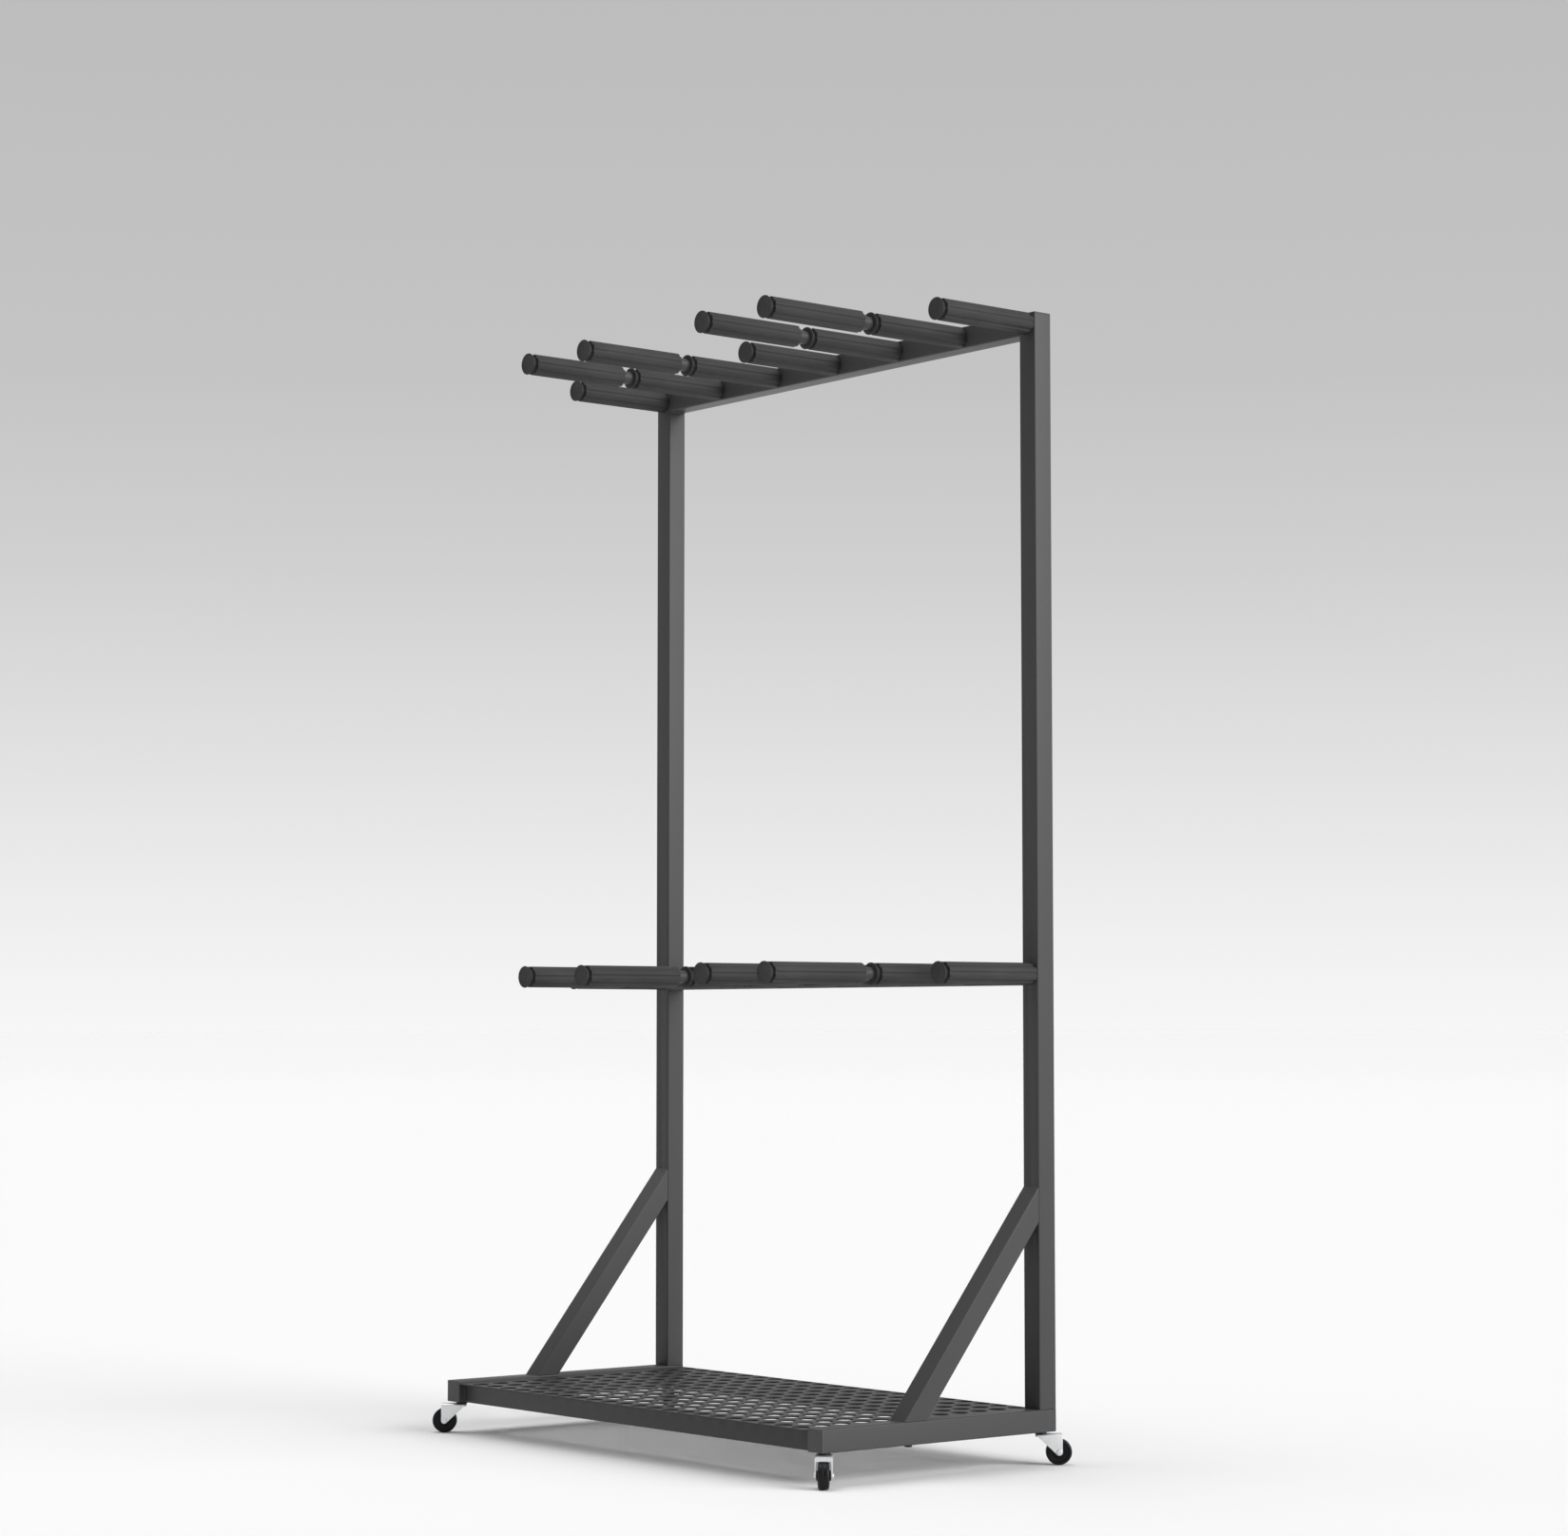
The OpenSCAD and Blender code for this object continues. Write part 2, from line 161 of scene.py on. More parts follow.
class Socket:
    """An output of a node. Arithmetic on it adds Math nodes, and | takes the larger value."""

    def __init__(self, nodes, link):
        self.nodes = nodes
        self.link = link

    def maths(self, operation, *values):
        return self.nodes.node("ShaderNodeMath", {"operation": operation}, dict(enumerate(values)))

    def __add__(self, other):
        return self.maths("ADD", self, other)

    def __radd__(self, other):
        return self.maths("ADD", other, self)

    def __sub__(self, other):
        return self.maths("SUBTRACT", self, other)

    def __rsub__(self, other):
        return self.maths("SUBTRACT", other, self)

    def __mul__(self, other):
        return self.maths("MULTIPLY", self, other)

    def __rmul__(self, other):
        return self.maths("MULTIPLY", other, self)

    def __truediv__(self, other):
        return self.maths("DIVIDE", self, other)

    def __rtruediv__(self, other):
        return self.maths("DIVIDE", other, self)

    def __or__(self, other):
        return self.maths("MAXIMUM", self, other)

    def __ror__(self, other):
        return self.maths("MAXIMUM", other, self)

    def __abs__(self):
        return self.maths("ABSOLUTE", self)

    def sine(self):
        return self.maths("SINE", self)

    def step(self, low, high):
        """0 below low, 1 above high, smooth between."""
        return self.nodes.node("ShaderNodeMapRange", {"interpolation_type": "SMOOTHSTEP"},
                               {"Value": self, "From Min": low, "From Max": high})


class NodeTree:
    """An emptied tree of nodes, all of which are added by one method."""

    def __init__(self, tree):
        self.tree = tree
        self.tree.nodes.clear()

    def node(self, kind, settings=None, inputs=None, output=0):
        """Adds a node, sets what it is, then its sockets, and returns one output if it has any.
        A list goes to a socket that takes several links."""
        made = self.tree.nodes.new(kind)
        for key, value in (settings or {}).items():
            if key == "grey_stops":
                set_grey_stops(made.color_ramp, value)
            else:
                setattr(made, key, value)
        for key, value in (inputs or {}).items():
            for one in value if isinstance(value, list) else [value]:
                self.feed(made.inputs[key], one)
        return Socket(self, made.outputs[output]) if made.outputs else None

    def feed(self, socket, value):
        if isinstance(value, Socket):
            self.tree.links.new(value.link, socket)
        else:
            socket.default_value = value


def set_grey_stops(ramp, stops):
    """Sets a colour ramp's stops from pairs of a place and a grey."""
    while len(ramp.elements) < len(stops):
        ramp.elements.new(1.0)
    for element, (place, grey) in zip(ramp.elements, stops):
        element.position = place
        element.color = (grey, grey, grey, 1)


class Finish(NodeTree):
    """A material. Its fixed values are given by the names of the shader's own sockets."""

    def __init__(self, name, fixed):
        self.material = bpy.data.materials.new(name)
        self.material.use_nodes = True
        super().__init__(self.material.node_tree)
        surface = self.node("ShaderNodeBsdfPrincipled", {}, fixed)
        self.node("ShaderNodeOutputMaterial", {}, {"Surface": surface})
        self.sockets = surface.link.node.inputs
        self.relief = None

    def place(self, stretch=(1, 1, 1)):
        """The piece's own coordinates; a share below 1 draws a pattern out along that axis."""
        coords = self.node("ShaderNodeTexCoord", output="Object")
        return self.node("ShaderNodeMapping", {}, {"Vector": coords, "Scale": stretch})

    def noise(self, size, detail=2.0, roughness=0.5, stretch=(1, 1, 1)):
        """Soft noise from 0 to 1 whose blobs are about size metres across."""
        return self.node("ShaderNodeTexNoise", {}, {
            "Vector": self.place(stretch), "Scale": 1 / size, "Detail": detail,
            "Roughness": roughness})

    def mix(self, factor, first, second):
        """Between two colours. A Mix node's colours are its inputs 6 and 7 and its output 2."""
        return self.node("ShaderNodeMix", {"data_type": "RGBA"},
                         {0: factor, 6: (*first, 1), 7: (*second, 1)}, output=2)

    def colour(self, value):
        self.feed(self.sockets["Base Color"], value)

    def roughness(self, value):
        self.feed(self.sockets["Roughness"], value)

    def bump(self, height, depth, strength):
        """Adds relief of depth metres to what the surface already has."""
        inputs = {"Height": height, "Distance": depth, "Strength": strength}
        if self.relief is not None:
            inputs["Normal"] = self.relief
        self.relief = self.node("ShaderNodeBump", {}, inputs)
        self.feed(self.sockets["Normal"], self.relief)


class Pattern(NodeTree):
    """A Geometry Nodes tree with named inputs for its sizes, whose result is a plain piece."""

    def __init__(self, name, **sizes):
        super().__init__(bpy.data.node_groups.new(name, "GeometryNodeTree"))
        sockets = self.tree.interface
        sockets.new_socket("Geometry", in_out="INPUT", socket_type="NodeSocketGeometry")
        self.values = {}
        for label, value in sizes.items():
            kind = "NodeSocketInt" if isinstance(value, int) else "NodeSocketFloat"
            made = sockets.new_socket(label, in_out="INPUT", socket_type=kind)
            self.values[made.identifier] = value
        sockets.new_socket("Geometry", in_out="OUTPUT", socket_type="NodeSocketGeometry")
        given = self.node("NodeGroupInput").link.node.outputs
        self.given = {label: Socket(self, given[label]) for label in ("Geometry", *sizes)}

    def make(self, name, result, slot, mesh=None):
        """Ends the tree, runs it on a mesh and returns the result as a plain piece."""
        plain = self.node("GeometryNodeRealizeInstances", {}, {"Geometry": result})
        painted = self.node("GeometryNodeSetMaterial", {},
                            {"Geometry": plain, "Material": FINISH_OF_SLOT[slot]})
        self.node("NodeGroupOutput", {}, {"Geometry": painted})
        source = add_object(name + "_source", mesh or bpy.data.meshes.new(name + "_source"))
        modifier = source.modifiers.new("nodes", "NODES")
        modifier.node_group = self.tree
        for identifier, value in self.values.items():
            modifier[identifier] = value
        seen = source.evaluated_get(bpy.context.evaluated_depsgraph_get())
        made = bpy.data.meshes.new_from_object(seen)
        bpy.data.objects.remove(source)
        made.name = name
        return add_object(name, made)


# Finishes

def powder_coat(name, dark, light, dullness):
    """Baked powder paint: fine orange peel and faint clouding."""
    paint = Finish(name, {"Specular IOR Level": 0.3})
    clouds = paint.noise(110 * MM, detail=3)
    grains = paint.noise(1.1 * MM, roughness=0.6)
    peel = paint.noise(2.2 * MM)
    paint.colour(paint.mix(clouds * 0.6 + grains * 0.4, dark, light))
    paint.roughness(dullness + clouds * 0.10 + grains * 0.06)
    paint.bump(peel, depth=0.12 * MM, strength=0.55)
    paint.bump(grains, depth=0.05 * MM, strength=0.5)
    return paint.material


def moulded_rubber():
    """Matte rubber with a fine grain, paler where the mould rubbed it."""
    rubber = Finish("moulded_rubber", {"Specular IOR Level": 0.25})
    smears = rubber.noise(18 * MM, detail=3, roughness=0.55, stretch=(1, 0.25, 1))
    grain = rubber.noise(0.7 * MM, detail=3, roughness=0.65)
    rubber.colour(rubber.mix(smears.step(0.35, 0.75) * 0.7 + grain * 0.3,
                             (0.027, 0.027, 0.028), (0.044, 0.044, 0.046)))
    rubber.roughness(0.56 + smears * 0.12 + grain * 0.05)
    rubber.bump(grain, depth=0.06 * MM, strength=0.6)
    return rubber.material


def plug_plastic():
    """Injection moulded plug with a spark-eroded texture."""
    plastic = Finish("plug_plastic", {"Specular IOR Level": 0.45})
    grain = plastic.noise(0.6 * MM, roughness=0.6)
    clouds = plastic.noise(8 * MM)
    plastic.colour(plastic.mix(clouds, (0.050, 0.050, 0.053), (0.060, 0.060, 0.063)))
    plastic.roughness(0.48 + grain * 0.12)
    plastic.bump(grain, depth=0.05 * MM, strength=0.7)
    return plastic.material


def black_oxide():
    """Blackened steel of bolts and nuts, slightly oily, with paler blotches."""
    steel = Finish("black_oxide", {"Metallic": 0.35})
    blotch = steel.noise(2.5 * MM, detail=3, roughness=0.6)
    steel.colour(steel.mix(blotch.step(0.45, 0.8), (0.012, 0.012, 0.014), (0.030, 0.029, 0.030)))
    steel.roughness(0.36 + blotch * 0.2)
    steel.bump(blotch, depth=0.04 * MM, strength=0.5)
    return steel.material


def bright_zinc():
    """Zinc plated sheet: bright, faintly blue, with rolling lines and duller patches."""
    zinc = Finish("bright_zinc", {"Metallic": 1.0})
    patches = zinc.noise(6 * MM, detail=3, roughness=0.55)
    lines = zinc.noise(1.1 * MM, roughness=0.6, stretch=(1, 1, 0.08))
    zinc.colour(zinc.mix(patches * 0.7 + lines * 0.3, (0.66, 0.67, 0.68), (0.82, 0.83, 0.84)))
    zinc.roughness(0.36 + patches * 0.14 + lines * 0.06)
    zinc.bump(lines, depth=0.02 * MM, strength=0.5)
    return zinc.material


def hard_wheel():
    """Hard black wheel, scuffed slightly paler in places."""
    wheel = Finish("hard_wheel", {"Specular IOR Level": 0.2})
    scuffs = wheel.noise(3.5 * MM, detail=3, roughness=0.6)
    grain = wheel.noise(0.5 * MM, roughness=0.6)
    wheel.colour(wheel.mix(scuffs.step(0.5, 0.8), (0.005, 0.005, 0.006), (0.014, 0.014, 0.014)))
    wheel.roughness(0.26 + scuffs * 0.2)
    wheel.bump(grain, depth=0.03 * MM, strength=0.6)
    return wheel.material


FINISH_OF_SLOT = {
    "frame_paint": powder_coat("frame_paint", dark=(0.042, 0.042, 0.043),
                               light=(0.052, 0.052, 0.053), dullness=0.40),
    # The tray's paint is a darker copy of the frame's powder coat. Part of that darkness is
    # painted shade: it stands in for the shadows and dark reflections of goods stored on the tray.
    "tray_paint": powder_coat("tray_paint", dark=(0.022, 0.022, 0.023),
                              light=(0.029, 0.029, 0.030), dullness=0.36),
    "sleeve_rubber": moulded_rubber(),
    "plug_plastic": plug_plastic(),
    "black_steel": black_oxide(),
    "zinc_plate": bright_zinc(),
    "wheel_plastic": hard_wheel(),
}


# Mesh tools

def add_object(name, data):
    made = bpy.data.objects.new(name, data)
    bpy.context.scene.collection.objects.link(made)
    return made


def smooth(mesh, sharp_degrees=SHARP_DEGREES):
    mesh.shade_smooth()
    mesh.set_sharp_from_angle(angle=math.radians(sharp_degrees))


def settle(piece, slot, body, *nodes):
    """Gives a finished piece its finish and body, and lets it stand for CAD nodes."""
    piece.data.materials.clear()
    piece.data.materials.append(FINISH_OF_SLOT[slot])
    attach(piece, body)
    if nodes:
        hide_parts(*nodes)


def ring(z, radius, steps, outline=None):
    """A level ring of points; outline gives the share of the radius at an angle."""
    points = []
    for k in range(steps):
        angle = math.tau * k / steps
        reach = radius * (outline(angle) if outline else 1)
        points.append((reach * math.cos(angle), reach * math.sin(angle), z))
    return points


def pole(z):
    """A ring of one point on the axis, which closes an end."""
    return ring(z, 0, 1)


def from_rings(name, solids):
    """One piece from closed solids, each a list of rings from end to end and its place. A solid
    that starts and ends at poles is closed by them; in any other its last ring meets its first."""
    grid = bmesh.new()
    for rings, place in solids:
        rows = [[grid.verts.new(place @ Vector(point)) for point in points] for points in rings]
        if len(rings[0]) > 1:
            rows.append(rows[0])
        for lower, upper in zip(rows, rows[1:]):
            for k in range(max(len(lower), len(upper))):
                corners = [lower[k % len(lower)], lower[(k + 1) % len(lower)],
                           upper[(k + 1) % len(upper)], upper[k % len(upper)]]
                corners = list(dict.fromkeys(corners))
                if len(corners) > 2:
                    grid.faces.new(corners)
    bmesh.ops.recalc_face_normals(grid, faces=grid.faces)
    mesh = bpy.data.meshes.new(name)
    grid.to_mesh(mesh)
    grid.free()
    smooth(mesh)
    return add_object(name, mesh)


def softened(node, name, slot, body, ease=0.0):
    """The CAD node's own shape with its loose triangles joined and its sharp edges eased."""
    grid = bmesh.new()
    grid.from_mesh(frame["nodes"][node].data)
    bmesh.ops.remove_doubles(grid, verts=grid.verts, dist=MERGE)
    bmesh.ops.dissolve_limit(grid, angle_limit=math.radians(FLAT_DEGREES), verts=grid.verts,
                             edges=grid.edges)
    if ease:
        sharp = [edge for edge in grid.edges if len(edge.link_faces) == 2
                 and edge.calc_face_angle_signed(0.0) > math.radians(SHARP_DEGREES)]
        bmesh.ops.bevel(grid, geom=sharp, offset=ease, offset_type="OFFSET", segments=2,
                        profile=EASE_PROFILE, affect="EDGES", clamp_overlap=True)
    bmesh.ops.triangulate(grid, faces=grid.faces)
    mesh = bpy.data.meshes.new(name)
    grid.to_mesh(mesh)
    grid.free()
    smooth(mesh)
    settle(add_object(name, mesh), slot, body, node)


# Tray

def punched_sheet(width, depth):
    """Flat sheet round the origin with a grid of round holes, its underside at z = 0."""
    tree = Pattern("punched_sheet", Width=width, Depth=depth, Thickness=TRAY_T, Pitch=HOLE_PITCH,
                   Hole_Radius=HOLE_R, Columns=HOLE_COLUMNS, Rows=HOLE_ROWS)
    size = tree.given
    edge = tree.node("GeometryNodeCurvePrimitiveQuadrilateral", {},
                     {"Width": size["Width"], "Height": size["Depth"]})
    centres = tree.node("GeometryNodeMeshGrid", {}, {
        "Size X": size["Pitch"] * (size["Columns"] - 1), "Vertices X": size["Columns"],
        "Size Y": size["Pitch"] * (size["Rows"] - 1), "Vertices Y": size["Rows"]})
    hole = tree.node("GeometryNodeCurvePrimitiveCircle", {},
                     {"Resolution": HOLE_STEPS, "Radius": size["Hole_Radius"]})
    holes = tree.node("GeometryNodeInstanceOnPoints", {}, {"Points": centres, "Instance": hole})
    holes = tree.node("GeometryNodeRealizeInstances", {}, {"Geometry": holes})
    outline = tree.node("GeometryNodeJoinGeometry", {}, {"Geometry": [edge, holes]})
    sheet = tree.node("GeometryNodeFillCurve", {}, {"Curve": outline})
    risen = tree.node("GeometryNodeExtrudeMesh", {}, {
        "Mesh": sheet, "Offset Scale": size["Thickness"], "Individual": False})
    under = tree.node("GeometryNodeFlipFaces", {}, {"Mesh": sheet})
    both = tree.node("GeometryNodeJoinGeometry", {}, {"Geometry": [risen, under]})
    closed = tree.node("GeometryNodeMergeByDistance", {}, {"Geometry": both, "Distance": MERGE})
    return tree.make("perforated_tray", closed, "tray_paint")


def is_rim(edge):
    """Whether an edge of the sheet is a level one between its wall and its top or underside."""
    rise = abs(edge.verts[0].co.z - edge.verts[1].co.z)
    return (len(edge.link_faces) == 2 and rise < TRAY_T / 2
            and edge.calc_face_angle(0.0) > math.radians(TRAY_RIM_DEGREES))


def perforated_tray():
    """The punched sheet at its place, with its edges and rims eased."""
    low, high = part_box("tray_sheet")
    piece = punched_sheet(high.x - low.x, high.y - low.y)
    grid = bmesh.new()
    grid.from_mesh(piece.data)
    bmesh.ops.bevel(grid, geom=[edge for edge in grid.edges if is_rim(edge)], offset=TRAY_EASE,
                    offset_type="OFFSET", segments=1, profile=0.5, affect="EDGES",
                    clamp_overlap=True)
    bmesh.ops.triangulate(grid, faces=grid.faces)
    bmesh.ops.recalc_face_normals(grid, faces=grid.faces)
    grid.to_mesh(piece.data)
    grid.free()
    piece.data.transform(Matrix.Translation((0, (low.y + high.y) / 2, low.z)))
    smooth(piece.data, TRAY_SHARP_DEGREES)
    settle(piece, "tray_paint", "frame", "tray_sheet")


# Sleeves

def fluted(angle):
    """Share of the sleeve's radius at an angle: round grooves cut into a circle, with eased
    edges."""
    turn = math.tau / FLUTES
    off = abs((angle + turn / 2) % turn - turn / 2)
    centre = SLEEVE_R + FLUTE_R - FLUTE_DEPTH
    side = centre * math.sin(off)
    if side >= FLUTE_R:
        return 1.0
    floor_r = centre * math.cos(off) - math.sqrt(FLUTE_R ** 2 - side ** 2)
    blend = min(1.0, max(0.0, 0.5 + (SLEEVE_R - floor_r) / (2 * FLUTE_EASE)))
    eased = SLEEVE_R + (floor_r - SLEEVE_R) * blend - FLUTE_EASE * blend * (1 - blend)
    return eased / SLEEVE_R


def sleeve_rings(closed):
    """Rings of one sleeve from its root at z = 0 to the front of its disc."""
    steps = FLUTES * FLUTE_STEPS
    ease = SLEEVE_EASE
    # The middle of a rounded edge lies in from both of its faces by this much
    bend = 0.3 * ease
    disc_back = SLEEVE_LEN - DISC_T
    body_end = disc_back - GROOVE_W

    def body(z, inset=0.0):
        return ring(z, SLEEVE_R - inset, steps, fluted)

    rings = [body(0, ease), body(bend, bend), body(ease)]
    rings += [body(body_end * share) for share in (0.25, 0.5, 0.75)]
    rings += [body(body_end - ease), body(body_end - bend, bend), body(body_end, ease)]
    rings += [ring(body_end, NECK_R + ease, steps), ring(body_end + ease, NECK_R, steps),
              ring(disc_back - ease, NECK_R, steps), ring(disc_back, NECK_R + ease, steps)]
    for k in range(DISC_RIM_STEPS + 1):
        turn = math.pi * (k / DISC_RIM_STEPS - 0.5)
        centre = disc_back + DISC_RIM if turn < 0 else SLEEVE_LEN - DISC_RIM
        rings.append(ring(centre + DISC_RIM * math.sin(turn),
                          DISC_R - DISC_RIM + DISC_RIM * math.cos(turn), steps))
    if closed:
        dish = SLEEVE_LEN - DISH_DEPTH
        return [pole(disc_back), ring(disc_back, BORE_R, steps), ring(0, BORE_R, steps), *rings,
                ring(SLEEVE_LEN, DISH_R, steps), ring(dish, DISH_FLOOR_R, steps),
                ring(dish, DISH_EYE_R, steps), pole(dish)]
    return [ring(0, BORE_R, steps), *rings, ring(SLEEVE_LEN, BORE_R + ease, steps),
            ring(SLEEVE_LEN - ease, BORE_R, steps)]


def arm_sleeves():
    """The sleeves of each arm: one closed, or an open one behind a closed one."""
    lying = Matrix.Rotation(math.radians(90), 4, "X")
    ahead = Matrix.Translation((0, 0, SLEEVE_LEN + SLEEVE_GAP))
    open_rings = sleeve_rings(closed=False)
    closed_rings = sleeve_rings(closed=True)
    for tier in TIERS:
        for arm in ARMS:
            node = f"{tier}_sleeve_{arm}"
            low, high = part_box(node)
            root = Matrix.Translation(((low.x + high.x) / 2, high.y, (low.z + high.z) / 2)) @ lying
            if high.y - low.y > SLEEVE_LEN + SLEEVE_GAP:
                solids = [(open_rings, root), (closed_rings, root @ ahead)]
            else:
                solids = [(closed_rings, root)]
            settle(from_rings(f"{tier}_grip_{arm}", solids), "sleeve_rubber", "frame", node)


# Bolts, nuts and wheels

def hexagon(angle):
    """Share of a hexagon's half width across flats at an angle."""
    turn = math.radians(60)
    return 1 / math.cos((angle + turn / 2) % turn - turn / 2)


def hex_corner(across_flats):
    """From a hexagon's middle to its corners."""
    return across_flats / 2 / math.cos(math.radians(30))


def hex_rings(across_flats, bottom, top, both_ends):
    """Rings of a hexagon prism with closed ends, chamfered at its top or at both ends."""
    half = across_flats / 2
    crown = half * HEX_CROWN

    def shoulder(z, towards):
        """The chamfer's outer edge; towards is 1 or -1, the way from this end into the prism."""
        points = []
        for x, y, _ in ring(z, half, HEX_STEPS, hexagon):
            fall = (math.hypot(x, y) - crown) * math.tan(HEX_CHAMFER)
            points.append((x, y, z + towards * fall))
        return points

    lower = [pole(bottom)]
    if both_ends:
        lower += [ring(bottom, crown, HEX_STEPS), shoulder(bottom, 1)]
    else:
        lower += [ring(bottom, half, HEX_STEPS, hexagon)]
    return lower + [shoulder(top, -1), ring(top, crown, HEX_STEPS), pole(top)]


def frame_bolts():
    """Bolt heads with chamfered crowns over plain shanks: two from below, two from behind."""
    for node, from_below in (("brace_foot_bolts", True), ("brace_head_bolts", False)):
        low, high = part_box(node)
        if from_below:
            y, z = (low.y + high.y) / 2, low.z + BOLT_HEAD_H
            turn = Matrix.Rotation(math.radians(180), 4, "X")
            length = high.z - low.z - BOLT_HEAD_H
        else:
            y, z = high.y - BOLT_HEAD_H, (low.z + high.z) / 2
            turn = Matrix.Rotation(math.radians(-90), 4, "X")
            length = high.y - low.y - BOLT_HEAD_H
        shank = [pole(-length), ring(-length, SHANK_TIP_R, SHANK_STEPS),
                 ring(-length + SHANK_TIP_H, SHANK_R, SHANK_STEPS),
                 ring(SHANK_BITE, SHANK_R, SHANK_STEPS), pole(SHANK_BITE)]
        head = hex_rings(BOLT_AF, 0, BOLT_HEAD_H, both_ends=False)
        corner = hex_corner(BOLT_AF)
        solids = []
        for x in (low.x + corner, high.x - corner):
            place = Matrix.Translation((x, y, z)) @ turn
            solids += [(head, place), (shank, place)]
        settle(from_rings(node + "_hex", solids), "black_steel", "frame", node)


def lock_nuts():
    """Four nuts chamfered on both faces, tight under the tubes."""
    low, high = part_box("caster_lock_nuts")
    corner = hex_corner(NUT_AF)
    nut = hex_rings(NUT_AF, low.z, high.z, both_ends=True)
    solids = [(nut, Matrix.Translation((x, y, 0))) for x in (low.x + corner, high.x - corner)
              for y in (low.y + NUT_AF / 2, high.y - NUT_AF / 2)]
    settle(from_rings("caster_lock_nuts_hex", solids), "black_steel", "frame", "caster_lock_nuts")


def wheel_rings():
    """The wheel's section turned about its axle: a hub with a fine groove at its foot, a recess,
    a rim, a round shoulder and half of a fine seam, then all of it mirrored."""
    hub = HUB_W / 2
    face = WHEEL_W / 2
    recess = face - RECESS_DEPTH
    ease = WHEEL_EASE
    section = [(AXLE_BORE_R, -hub), (HUB_R, -hub), (HUB_R + ease, -hub + ease),
               (HUB_FOOT_R, -recess + ease), (RECESS_FROM_R, -recess), (RECESS_TO_R, -recess),
               (RIM_R - 2 * ease, -recess - ease), (RIM_R - ease, -face + ease), (RIM_R, -face)]
    for k in range(SHOULDER_STEPS + 1):
        turn = math.radians(90) * (k / SHOULDER_STEPS - 1)
        section.append((WHEEL_R - SHOULDER_R + SHOULDER_R * math.cos(turn),
                        -face + SHOULDER_R + SHOULDER_R * math.sin(turn)))
    section += [(WHEEL_R, -SEAM_HALF_W), (WHEEL_R - SEAM_DEPTH, 0)]
    mirrored = [(radius, -z) for radius, z in reversed(section[:-1])]
    return [ring(z, radius, WHEEL_STEPS) for radius, z in section + mirrored]


def casters():
    """Fork, axle rivet and wheel of each caster, and the four stems."""
    for caster in CASTERS:
        swivel, spin = caster + "_swivel", caster + "_wheel"
        softened(caster + "_caster_fork", caster + "_fork_sheet", "zinc_plate", swivel, FORK_EASE)
        softened(caster + "_caster_axle", caster + "_axle_rivet", "zinc_plate", swivel)
        joint = next(joint for joint in frame["joints"] if joint["child"] == spin)
        along = Vector(joint["axis"]).to_track_quat("Z", "Y").to_matrix().to_4x4()
        place = Matrix.Translation(joint["pos_m"]) @ along
        wheel = from_rings(caster + "_wheel_tread", [(wheel_rings(), place)])
        settle(wheel, "wheel_plastic", spin, caster + "_caster_wheel")
    softened("caster_stems", "caster_stem_steel", "zinc_plate", "frame", STEM_EASE)


# Frame

def frame_tubes():
    """Tubes, rods and plugs keep their own shape, joined and smoothly shaded."""
    tubes = [f"{part}_{side}" for part in ("side_rail", "upright", "brace") for side in SIDES]
    tubes += ["front_rail", "rear_rail", "upper_crossbar", "lower_crossbar"]
    for node in tubes:
        softened(node, node + "_tube", "frame_paint", "frame", TUBE_EASE)
    for tier in TIERS:
        for arm in ARMS:
            softened(f"{tier}_arm_{arm}", f"{tier}_rod_{arm}", "frame_paint", "frame")
    softened("upright_caps", "upright_cap_plugs", "plug_plastic", "frame")
    softened("rail_end_plugs", "rail_end_plug_set", "plug_plastic", "frame")


def bead_lines():
    """The lines that the beads follow: inner corners where rails and crossbars meet the frame."""
    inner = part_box("front_rail")[1].x
    lines = []
    for node in ("front_rail", "rear_rail"):
        low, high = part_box(node)
        foot, head = low.z + RAIL_BEAD_FOOT, high.z - RAIL_BEAD_HEAD
        faces = (low.y, high.y) if node == "front_rail" else (low.y,)
        lines += [[(side * inner, y, foot), (side * inner, y, head)]
                  for side in (-1, 1) for y in faces]
    for node in ("upper_crossbar", "lower_crossbar"):
        low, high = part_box(node)
        front, back = low.y + CROSSBAR_BEAD_INSET, high.y - CROSSBAR_BEAD_INSET
        levels = (low.z,) if node == "upper_crossbar" else (low.z, high.z)
        lines += [[(side * inner, front, z), (side * inner, back, z)]
                  for side in (-1, 1) for z in levels]
    mesh = bpy.data.meshes.new("weld_lines")
    points = [point for line in lines for point in line]
    mesh.from_pydata(points, [(2 * k, 2 * k + 1) for k in range(len(lines))], [])
    return mesh


def weld_beads():
    """Short rippled beads along the bead lines."""
    tree = Pattern("weld_bead", Bead_Radius=BEAD_R, Ripple_Pitch=RIPPLE_PITCH,
                   Ripple_Share=RIPPLE_SHARE)
    size = tree.given
    curve = tree.node("GeometryNodeMeshToCurve", {}, {"Mesh": size["Geometry"]})
    curve = tree.node("GeometryNodeResampleCurve", {"mode": "LENGTH"},
                      {"Curve": curve, "Length": BEAD_STEP})
    along = tree.node("GeometryNodeSplineParameter", output="Length")
    ripple = abs((along / size["Ripple_Pitch"] * math.pi).sine()) * size["Ripple_Share"]
    curve = tree.node("GeometryNodeSetCurveRadius", {},
                      {"Curve": curve, "Radius": 1 - size["Ripple_Share"] + ripple})
    section = tree.node("GeometryNodeCurvePrimitiveCircle", {},
                        {"Resolution": BEAD_SIDES, "Radius": size["Bead_Radius"]})
    bead = tree.node("GeometryNodeCurveToMesh", {},
                     {"Curve": curve, "Profile Curve": section, "Fill Caps": True})
    piece = tree.make("weld_beads", bead, "frame_paint", bead_lines())
    smooth(piece.data, BEAD_SHARP_DEGREES)
    settle(piece, "frame_paint", "frame")


# Floor, air, lamps and camera

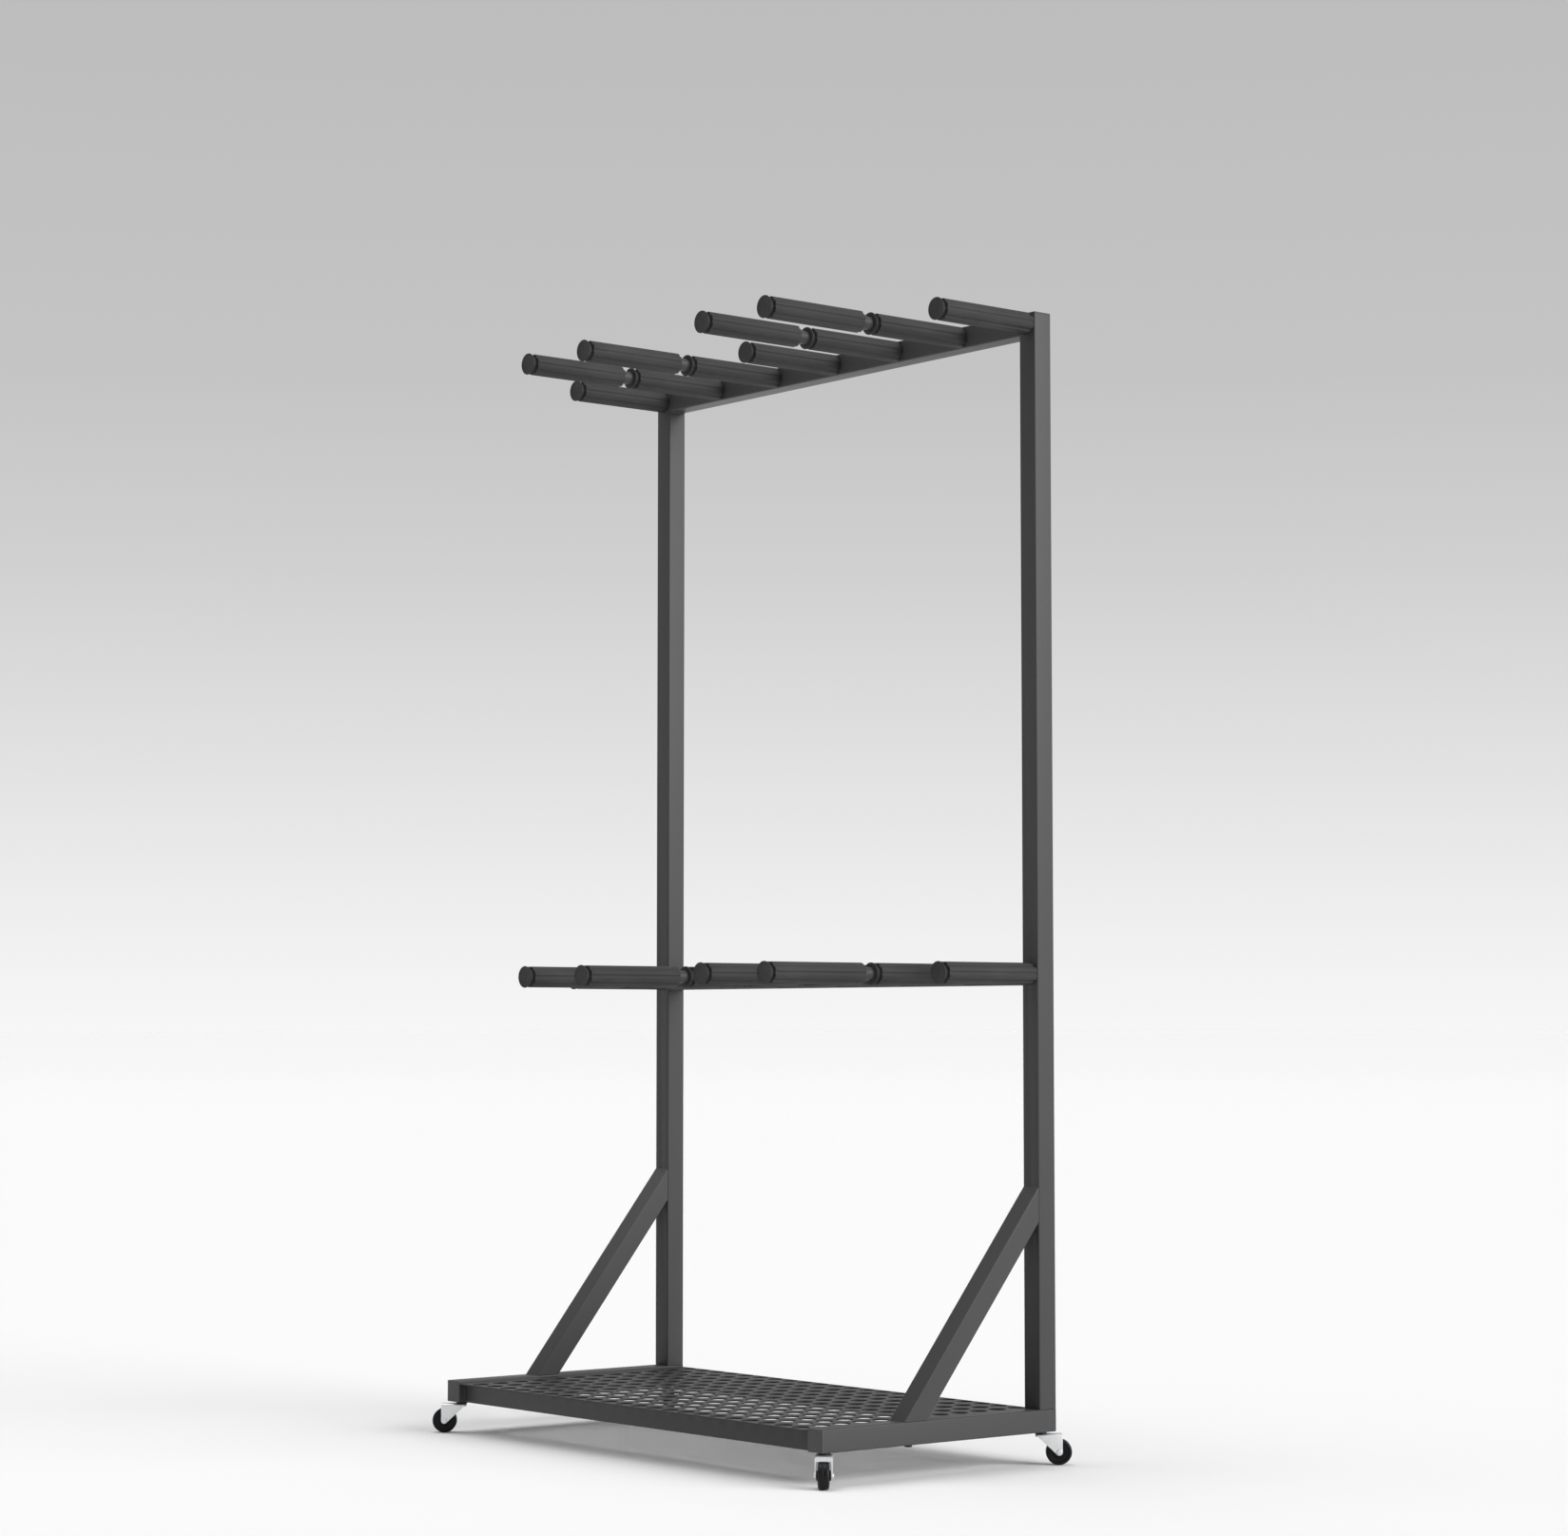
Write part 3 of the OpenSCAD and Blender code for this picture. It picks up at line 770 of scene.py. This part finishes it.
def pale_floor():
    """Pale floor that dims a little into the distance."""
    mesh = bpy.data.meshes.new("floor")
    mesh.from_pydata([(-FLOOR_REACH, -FLOOR_REACH, 0), (FLOOR_REACH, -FLOOR_REACH, 0),
                      (FLOOR_REACH, FLOOR_REACH, 0), (-FLOOR_REACH, FLOOR_REACH, 0)],
                     [], [(0, 1, 2, 3)])
    pale = Finish("pale_floor", {"Roughness": 0.9, "Specular IOR Level": 0.1})
    away = pale.node("ShaderNodeVectorMath", {"operation": "LENGTH"}, {0: pale.place()},
                     output="Value")
    nearness = (1 / away).step(NEARNESS_FAR, NEARNESS_NEAR)
    pale.colour(pale.mix(nearness, FLOOR_FAR, FLOOR_NEAR))
    mesh.materials.append(pale.material)
    add_object("floor", mesh)


def studio_air():
    """Air that lights the cart evenly, while the camera and reflections see it grey above and
    white at the horizon."""
    world = bpy.data.worlds.new("air")
    world.use_nodes = True
    bpy.context.scene.world = world
    air = NodeTree(world.node_tree)
    direction = air.node("ShaderNodeTexCoord", output="Generated")
    height = air.node("ShaderNodeSeparateXYZ", {}, {"Vector": direction}, output="Z")
    greys = air.node("ShaderNodeValToRGB", {"grey_stops": AIR_GREYS}, {"Fac": height})
    shown = air.node("ShaderNodeBackground", {}, {"Color": greys})
    fill = air.node("ShaderNodeBackground", {},
                    {"Color": (1, 1, 1, 1), "Strength": FILL_STRENGTH})
    camera_ray, glossy_ray, clear_ray = (
        air.node("ShaderNodeLightPath", output=f"Is {kind} Ray")
        for kind in ("Camera", "Glossy", "Transmission"))
    light = air.node("ShaderNodeMixShader", {},
                     {0: camera_ray | glossy_ray | clear_ray, 1: fill, 2: shown})
    air.node("ShaderNodeOutputWorld", {}, {"Surface": light})


def soft_lamp(name, towards, strength, spread):
    """A wide, soft sun lamp that shines along a direction; its spread is in degrees."""
    lamp = bpy.data.lights.new(name, "SUN")
    lamp.energy = strength
    lamp.angle = math.radians(spread)
    made = add_object(name, lamp)
    made.rotation_euler = Vector(towards).to_track_quat("-Z", "Y").to_euler()


def camera():
    """The photograph's own view, worked out from the frame's straight edges."""
    lens = bpy.data.cameras.new("camera")
    lens.lens = FOCAL_LENGTH
    lens.sensor_width = SENSOR_WIDTH
    lens.clip_end = SIGHT_LIMIT
    made = add_object("camera", lens)
    made.location = CAMERA_PLACE
    heading = math.radians(CAMERA_HEADING)
    rise = math.radians(CAMERA_RISE)
    forward = Vector((-math.sin(heading) * math.cos(rise), math.cos(heading) * math.cos(rise),
                      math.sin(rise)))
    made.rotation_euler = forward.to_track_quat("-Z", "Y").to_euler()
    bpy.context.scene.camera = made


camera()
perforated_tray()
arm_sleeves()
frame_bolts()
lock_nuts()
casters()
frame_tubes()
weld_beads()
pale_floor()
studio_air()
soft_lamp("high_lamp", towards=(0.30, 0.12, -1.0), strength=1.45, spread=55)
soft_lamp("side_lamp", towards=(-0.90, -0.42, -0.42), strength=2.95, spread=45)

bpy.context.scene.view_settings.view_transform = "Standard"
bpy.context.view_layer.update()
